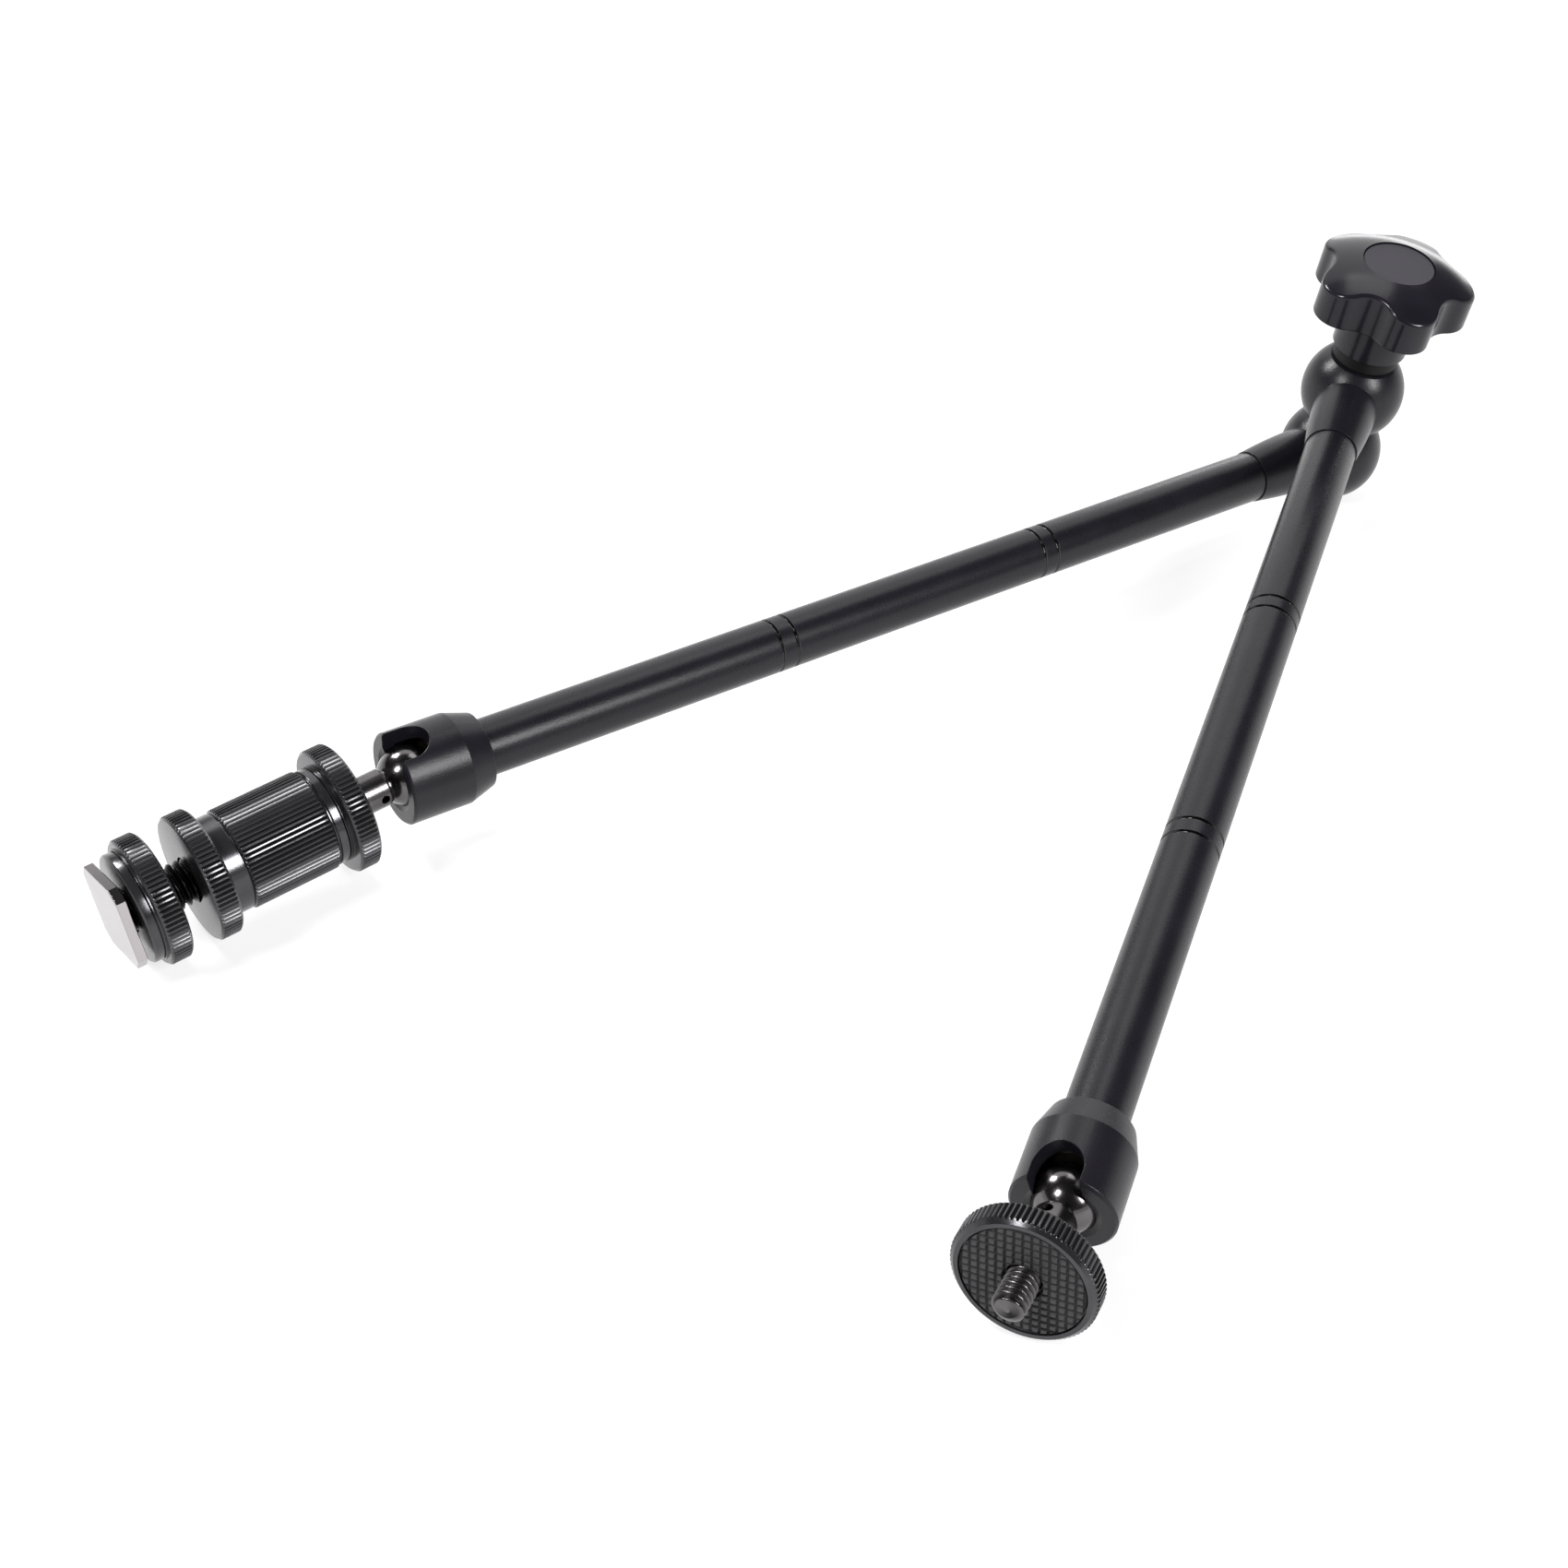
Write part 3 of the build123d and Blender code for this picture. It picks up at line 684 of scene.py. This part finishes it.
class ARM_OT_tubes(bpy.types.Operator):
    """Turn both tubes with their pairs of fine grooves."""

    bl_idname = "friction_arm.tubes"
    bl_label = "Tubes"

    def execute(self, context):
        bore, body, collar_length = 4.3 * MM, 6.25 * MM, 7.1 * MM
        edge_length, edge_fall, rounding = 0.25 * MM, 0.3 * MM, 0.05 * MM
        groove_places = np.array([95.5, 99.4, 170.5, 174.6]) * MM
        half_mouth, half_floor, depth = 0.45 * MM, 0.12 * MM, 0.42 * MM
        shallow, below = 0.02 * MM, 0.5 * MM
        around = 160

        def in_groove(along, out):
            return (out < body - shallow) & (out > body - below)

        for name, line in (("upper", UPPER), ("lower", LOWER)):
            node = f"{name}_tube"
            start, end, collar = line.measure(node)
            step = end - collar_length
            run = [(start, body - edge_fall), (start + edge_length, body)]
            for middle in groove_places:
                run += [(middle - half_mouth, body), (middle - half_floor, body - depth)]
                run += [(middle + half_floor, body - depth), (middle + half_mouth, body)]
            run += [(step, body), (step, collar), (end, collar)]
            profile = rounded([(start, bore), *run, (end, bore)], rounding, 2)
            piece = turned(node, line, profile, finishes()["tube_satin"], around)
            paint_part(piece, line, "groove_gloss", in_groove)
            dressed(piece, node, f"{name}_arm")
        return {"FINISHED"}


class ARM_OT_knuckles(bpy.types.Operator):
    """Finish the knuckles, sockets and hidden pieces that the CAD shapes fully."""

    bl_idname = "friction_arm.knuckles"
    bl_label = "Knuckles and sockets"

    def execute(self, context):
        paint("anodised_satin", "upper_knuckle", "lower_knuckle", "upper_socket", "lower_socket")
        paint("bright_steel", "clamp_bolt", "clamp_sleeve", "upper_push_rod", "lower_push_rod")
        paint("seat_brass", "upper_ball_seat", "lower_ball_seat", "knob_insert")
        paint("washer_nylon", "friction_washer", "thrust_washer")
        return {"FINISHED"}


class ARM_OT_knob(bpy.types.Operator):
    """Finish the lobed knob and its cap."""

    bl_idname = "friction_arm.knob"
    bl_label = "Knob"

    def execute(self, context):
        paint("moulded_satin", "knob")
        paint("cap_matt", "knob_cap")
        return {"FINISHED"}


class ARM_OT_studs(bpy.types.Operator):
    """Turn the ball studs with their tommy-bar holes and cut the camera screw's thread."""

    bl_idname = "friction_arm.studs"
    bl_label = "Ball studs"

    def execute(self, context):
        studs = (
            ("camera", CAMERA, "camera_disc", 29.0, context.scene.head_looks.camera_pitch),
            ("shoe", SHOE, "barrel_disc", -80.0, 0.0),
        )
        major, stem, neck = 3.175 * MM, 4.07 * MM, 3.7 * MM
        neck_end, stem_start, polish_end = 5.7 * MM, 6.0 * MM, 5.5 * MM
        tip_edge, rounding, step = 0.8 * MM, 0.12 * MM, 0.11 * MM
        hole_place, hole, hole_depth = 7.4 * MM, 0.9 * MM, 1.3 * MM
        thread_depth, thread_gap = 0.62 * MM, 1 * MM
        around, arc_points = 192, 40

        def on_ball(along, out):
            return along < polish_end

        for name, line, disc, hole_turn, pitch in studs:
            node = f"{name}_ball_stud"
            tip, ball = line.measure(node)[1:]
            shoulder = line.measure(disc)[0]
            bend = np.linspace(math.pi, math.asin(neck / ball), arc_points)
            arc = np.stack([ball * np.cos(bend), ball * np.sin(bend)], axis=1)
            arc[0, 1] = 0
            run = [(neck_end, neck), (stem_start, stem), (shoulder, stem), (shoulder, major)]
            run += [(tip - tip_edge, major), (tip, major - tip_edge), (tip, 0)]
            run = rounded([arc[-1], *run], rounding)[1:]
            profile = np.concatenate([arc, divided(run, step)])
            ripple = cross_hole(hole_place, hole, math.radians(hole_turn), hole_depth)
            if pitch:
                cut = thread(pitch, thread_depth, shoulder + thread_gap, tip + pitch)
                ripple = both(ripple, cut)
            steel = finishes()["stud_steel"]
            piece = turned(node, line, profile, steel, around, ripple, sharp=THREAD_SHARP)
            paint_part(piece, line, "ball_polish", on_ball)
            dressed(piece, node, f"{name}_stud")
        return {"FINISHED"}


class ARM_OT_discs(bpy.types.Operator):
    """Turn and knurl the four discs."""

    bl_idname = "friction_arm.discs"
    bl_label = "Knurled discs"

    def execute(self, context):
        edge, camera_edge = 0.6 * MM, 0.95 * MM
        camera_bore, stud_bore, shoe_bore = 3.35 * MM, 3.3 * MM, 4.95 * MM

        start, face = CAMERA.measure("camera_disc")[:2]
        well, well_depth = 11.8 * MM, 1.4 * MM
        floor = face - well_depth
        steps = [(face, well), (floor, well), (floor, camera_bore)]
        self.disc("camera_disc", CAMERA, "camera_disc", start, face, edge, camera_edge, steps)

        start, end = SHOE.measure("barrel_disc")[:2]
        step, step_height = 10.6 * MM, 0.7 * MM
        face = end - step_height
        steps = [(face, step), (end, step), (end, stud_bore)]
        self.disc("barrel_disc", SHOE, "shoe_stud", start, face, edge, edge, steps)

        start, face = SHOE.measure("shoe_lock_disc")[:2]
        steps = [(face, shoe_bore)]
        self.disc("shoe_lock_disc", SHOE, "shoe_lock_disc", start, face, edge, edge, steps)

        start, end = SHOE.measure("shoe_clamp_disc")[:2]
        hub, hub_height, hub_edge = 11.75 * MM, 2.6 * MM, 0.4 * MM
        foot, foot_height = 12.1 * MM, 0.5 * MM
        groove, groove_height = 11.35 * MM, 0.22 * MM
        face = end - hub_height
        base = face + foot_height
        top = base + groove_height
        steps = [(face, foot), (base, foot), (base, groove), (top, groove), (top, hub)]
        steps += [(end - hub_edge, hub), (end, hub - hub_edge), (end, shoe_bore)]
        self.disc("shoe_clamp_disc", SHOE, "shoe_clamp_disc", start, face, edge, edge, steps)
        return {"FINISHED"}

    def disc(self, node, line, body, start, face, rear_edge, front_edge, steps):
        """One disc: bore, rear face, rear chamfer, knurled rim, front chamfer and steps."""
        head = bpy.context.scene.head_looks
        rounding, rear_steps, front_steps = 0.07 * MM, 8, 10
        outer = line.measure(node)[2]
        bore = steps[-1][1]
        rim = between((start, outer - rear_edge), (start + rear_edge, outer), rear_steps)
        rim += between((face - front_edge, outer), (face, outer - front_edge), front_steps)
        profile = rounded([(start, bore), *rim, *steps, (start, bore)], rounding, 2)[:-1]
        band = knurl(head.disc_teeth, head.knurl_depth, outer, start, face)
        around = head.disc_teeth * TOOTH_POINTS
        piece = turned(node, line, profile, finishes()["knurled_satin"], around, band)
        dressed(piece, node, body)


class ARM_OT_barrel(bpy.types.Operator):
    """Turn the knurled barrel between its two plain necks."""

    bl_idname = "friction_arm.barrel"
    bl_label = "Barrel"

    def execute(self, context):
        head = context.scene.head_looks
        start, end, outer = SHOE.measure("barrel")
        bore, neck, groove = 4.95 * MM, 10.5 * MM, 9.9 * MM
        near_neck, far_neck, groove_width = 1.7 * MM, 3.7 * MM, 0.45 * MM
        edge, edge_steps, rounding, step = 0.5 * MM, 4, 0.1 * MM, 1.5 * MM
        near = start + near_neck
        far = end - far_neck
        low = near + groove_width
        high = far - groove_width
        profile = [(start, bore), (start, neck), (near, neck), (near, groove), (low, groove)]
        profile += between((low, outer - edge), (low + edge, outer), edge_steps)
        profile += between((high - edge, outer), (high, outer - edge), edge_steps)
        profile += [(high, groove), (far, groove), (far, neck), (end, neck), (end, bore)]
        profile = rounded([*profile, (start, bore)], rounding, 2)[:-1]
        profile = divided(profile, step)
        band = knurl(head.barrel_teeth, head.knurl_depth, outer, low, high)
        around = head.barrel_teeth * TOOTH_POINTS
        piece = turned("barrel", SHOE, profile, finishes()["knurled_satin"], around, band)
        dressed(piece, "barrel", "shoe_barrel")
        return {"FINISHED"}


class ARM_OT_pad(bpy.types.Operator):
    """Mould the rubber pad with its rows of small studs."""

    bl_idname = "friction_arm.pad"
    bl_label = "Rubber pad"

    def execute(self, context):
        floor, face, outer = CAMERA.measure("camera_pad")
        hole, gap, edge = 3.8 * MM, 0.2 * MM, 0.1 * MM
        rings, around = 72, 560
        rim = outer - gap
        top = [(face, radius) for radius in np.linspace(hole + edge, rim - edge, rings)]
        profile = [(face - edge, hole), *top, (face - edge, rim), (floor, rim), (floor, hole)]
        piece = turned(
            "camera_pad", CAMERA, profile, finishes()["pad_rubber"], around,
            lift=self.studs(face, context.scene.head_looks), sharp=PAD_SHARP,
        )
        dressed(piece, "camera_pad", "camera_disc")
        return {"FINISHED"}

    def studs(self, face, head):
        """Lift of the pad's face: -depth in the grooves between square studs.

        x and y are the place on the face turned by the pad's own angle, and g = |2 *
        fraction(x / pitch) - 1| is 1 on a groove's middle. The depth is reached over a
        slope: -depth * clip((g - shoulder) / slope, 0, 1) for the larger g of x and y.
        """
        depth, shoulder, slope, near = 0.4 * MM, 0.58, 0.2, 0.01 * MM

        def lift(distance, radius, angle):
            x = radius * np.cos(angle - head.stud_turn) / head.stud_pitch
            y = radius * np.sin(angle - head.stud_turn) / head.stud_pitch
            groove = np.maximum(np.abs(2 * np.mod(x, 1) - 1), np.abs(2 * np.mod(y, 1) - 1))
            fall = -depth * np.clip((groove - shoulder) / slope, 0, 1)
            return np.where(distance >= face - near, fall, 0.0)
        return lift


class ARM_OT_foot(bpy.types.Operator):
    """Cut the shoe head's screw and shape its square foot."""

    bl_idname = "friction_arm.foot"
    bl_label = "Shoe screw and foot"

    def execute(self, context):
        start, end = SHOE.measure("shoe_screw")[:2]
        thickness, major, chamfer = 2.1 * MM, 4.7625 * MM, 0.6 * MM
        step, sunk, around = 0.12 * MM, 0.5 * MM, 160
        thread_depth, thread_gap = 0.95 * MM, 1 * MM
        foot = end - thickness
        run = [(start, 0), (start, major - chamfer), (start + chamfer, major), (foot, major)]
        run = divided(np.array(run), step)
        profile = np.concatenate([run, [(foot + sunk, major), (foot + sunk, 0)]])
        pitch = context.scene.head_looks.shoe_pitch
        cut = thread(pitch, thread_depth, start + thread_gap, foot)
        black = finishes()["black_thread"]
        screw = turned("shoe_screw", SHOE, profile, black, around, cut, sharp=THREAD_SHARP)
        dressed(screw, "shoe_screw", "shoe_barrel")
        plate = self.plate(foot, end)
        dressed(plate, "shoe_screw", "shoe_barrel")
        return {"FINISHED"}

    def plate(self, foot, end):
        """Square plate with clipped corners: rings of its outline, drawn in by the edge's
        rounding inset[i] at distance rise[i], and one pole in the middle of either face."""
        half, clip, edge, turn = 9.15 * MM, 2.4 * MM, 0.22 * MM, math.radians(24.0)
        side_steps, bend_points = 6, 4
        corner = np.array([(half, clip - half), (half, half - clip), (half - clip, half)])
        quarter = [between(a, b, side_steps)[:-1] for a, b in zip(corner, corner[1:])]
        quarter = np.concatenate(quarter)
        square = []
        for index in range(4):
            c, s = math.cos(index * math.pi / 2), math.sin(index * math.pi / 2)
            square.append(quarter @ np.array([[c, s], [-s, c]]))
        outline = np.concatenate(square)
        radius = np.linalg.norm(outline, axis=1)
        angle = np.arctan2(outline[:, 1], outline[:, 0]) + turn
        bend = np.linspace(0, math.pi / 2, bend_points)
        inset = np.concatenate([edge * (1 - np.sin(bend)), edge * (1 - np.cos(bend))])
        rise = np.concatenate([foot + edge * (1 - np.cos(bend)), end - edge * (1 - np.sin(bend))])
        scale = np.concatenate([[0, 0.5], 1 - inset / half, [0.5, 0]])
        rise = np.concatenate([[foot, foot], rise, [end, end]])
        grid = SHOE.place(rise[:, None], scale[:, None] * radius, angle)
        return skin("shoe_foot", grid, finishes()["foot_chrome"])


class ARM_OT_stage(bpy.types.Operator):
    """Set up the floor, the lamps and the photo's camera."""

    bl_idname = "friction_arm.stage"
    bl_label = "Stage"

    def execute(self, context):
        stage = context.scene.stage_looks
        self.camera(context, stage)
        self.floor(stage)
        self.lamps(context, stage)
        context.scene.view_settings.view_transform = "Standard"
        return {"FINISHED"}

    def camera(self, context, stage):
        """Camera axes in the frame: the turn that takes the pivot axis and the upper arm,
        both made square, from their seen directions to their real ones."""
        sensor, near, far = 36.0, 0.01, 20.0
        up_seen = unit(stage.axis_seen)
        arm_seen = np.array(stage.arm_seen)
        arm_seen = unit(arm_seen - up_seen * (arm_seen @ up_seen))
        seen = np.stack([up_seen, arm_seen, np.cross(up_seen, arm_seen)])
        real = np.stack([KNUCKLE.along, KNUCKLE.first, KNUCKLE.second])
        turn = real.T @ seen
        data = bpy.data.cameras.new("photo_camera")
        data.lens = stage.focal
        data.sensor_width, data.clip_start, data.clip_end = sensor, near, far
        axes = turn @ np.diag([1.0, -1.0, -1.0])
        matrix = Matrix(axes.tolist()).to_4x4()
        matrix.translation = Vector(pivot - turn @ np.array(stage.pivot_seen))
        camera = bpy.data.objects.new("photo_camera", data)
        camera.matrix_world = matrix
        context.scene.collection.objects.link(camera)
        context.scene.camera = camera

    def floor(self, stage):
        """Round floor, flat in the middle and bent up towards its edge.

        Its height is rise * ((radius - flat) / (edge - flat))^2 outside the flat middle,
        less a small drop that keeps it clear of the arm.
        """
        flat, edge, rise, drop = 2.6, 4.2, 0.9, 0.5 * MM
        rings, around = 14, 96
        radius = np.concatenate([[0.0], np.linspace(flat, edge, rings)])[:, None]
        height = rise * (np.maximum(radius - flat, 0) / (edge - flat)) ** 2 - drop
        angle = np.linspace(0, math.tau, around, endpoint=False)
        grid = Line((0, 0, 0), (0, 0, 1), (1, 0, 0)).place(height, radius, angle)
        surface = Finish("floor_paper", Roughness=0.6)
        surface.set(Base_Color=stage.floor, Specular_IOR_Level=0.2)
        surface.set(Emission_Color=(1.0, 1.0, 1.0), Emission_Strength=stage.floor_glow)
        skin("floor", grid, surface.material)

    def lamps(self, context, stage):
        """A dim sky and rectangular lamps, each with the power that gives its glow."""
        world = bpy.data.worlds.new("studio")
        world.use_nodes = True
        back = world.node_tree.nodes["Background"]
        back.inputs["Color"].default_value = (1.0, 1.0, 1.0, 1.0)
        back.inputs["Strength"].default_value = stage.sky
        context.scene.world = world
        for name, (spot, width, height, glow) in PANELS.items():
            data = bpy.data.lights.new(name, "AREA")
            data.shape = "RECTANGLE"
            data.size = width
            data.size_y = height
            data.energy = math.pi * width * height * glow
            lamp = bpy.data.objects.new(name, data)
            lamp.location = spot
            lamp.rotation_euler = (-Vector(spot)).to_track_quat("-Z", "Y").to_euler()
            context.scene.collection.objects.link(lamp)


class ARM_PT_looks(bpy.types.Panel):
    """Lists the steps and the sizes of the friction arm's looks."""

    bl_idname = "ARM_PT_looks"
    bl_label = "Friction Arm"
    bl_space_type = "VIEW_3D"
    bl_region_type = "UI"
    bl_category = "Friction Arm"

    def draw(self, context):
        for group, settings in SETTINGS.items():
            for name in settings.__annotations__:
                self.layout.prop(getattr(context.scene, group), name)
        for operator in OPERATORS:
            self.layout.operator(operator.bl_idname)


OPERATORS = (
    ARM_OT_stage,
    ARM_OT_tubes,
    ARM_OT_knuckles,
    ARM_OT_knob,
    ARM_OT_studs,
    ARM_OT_discs,
    ARM_OT_barrel,
    ARM_OT_pad,
    ARM_OT_foot,
)
CLASSES = (*SETTINGS.values(), *OPERATORS, ARM_PT_looks)


def register():
    for cls in CLASSES:
        bpy.utils.register_class(cls)
    for group, settings in SETTINGS.items():
        setattr(bpy.types.Scene, group, PointerProperty(type=settings))


def unregister():
    for group in SETTINGS:
        delattr(bpy.types.Scene, group)
    for cls in reversed(CLASSES):
        bpy.utils.unregister_class(cls)


def main():
    register()
    for operator in OPERATORS:
        group, name = operator.bl_idname.split(".")
        getattr(getattr(bpy.ops, group), name)()


if __name__ == "__main__":
    main()
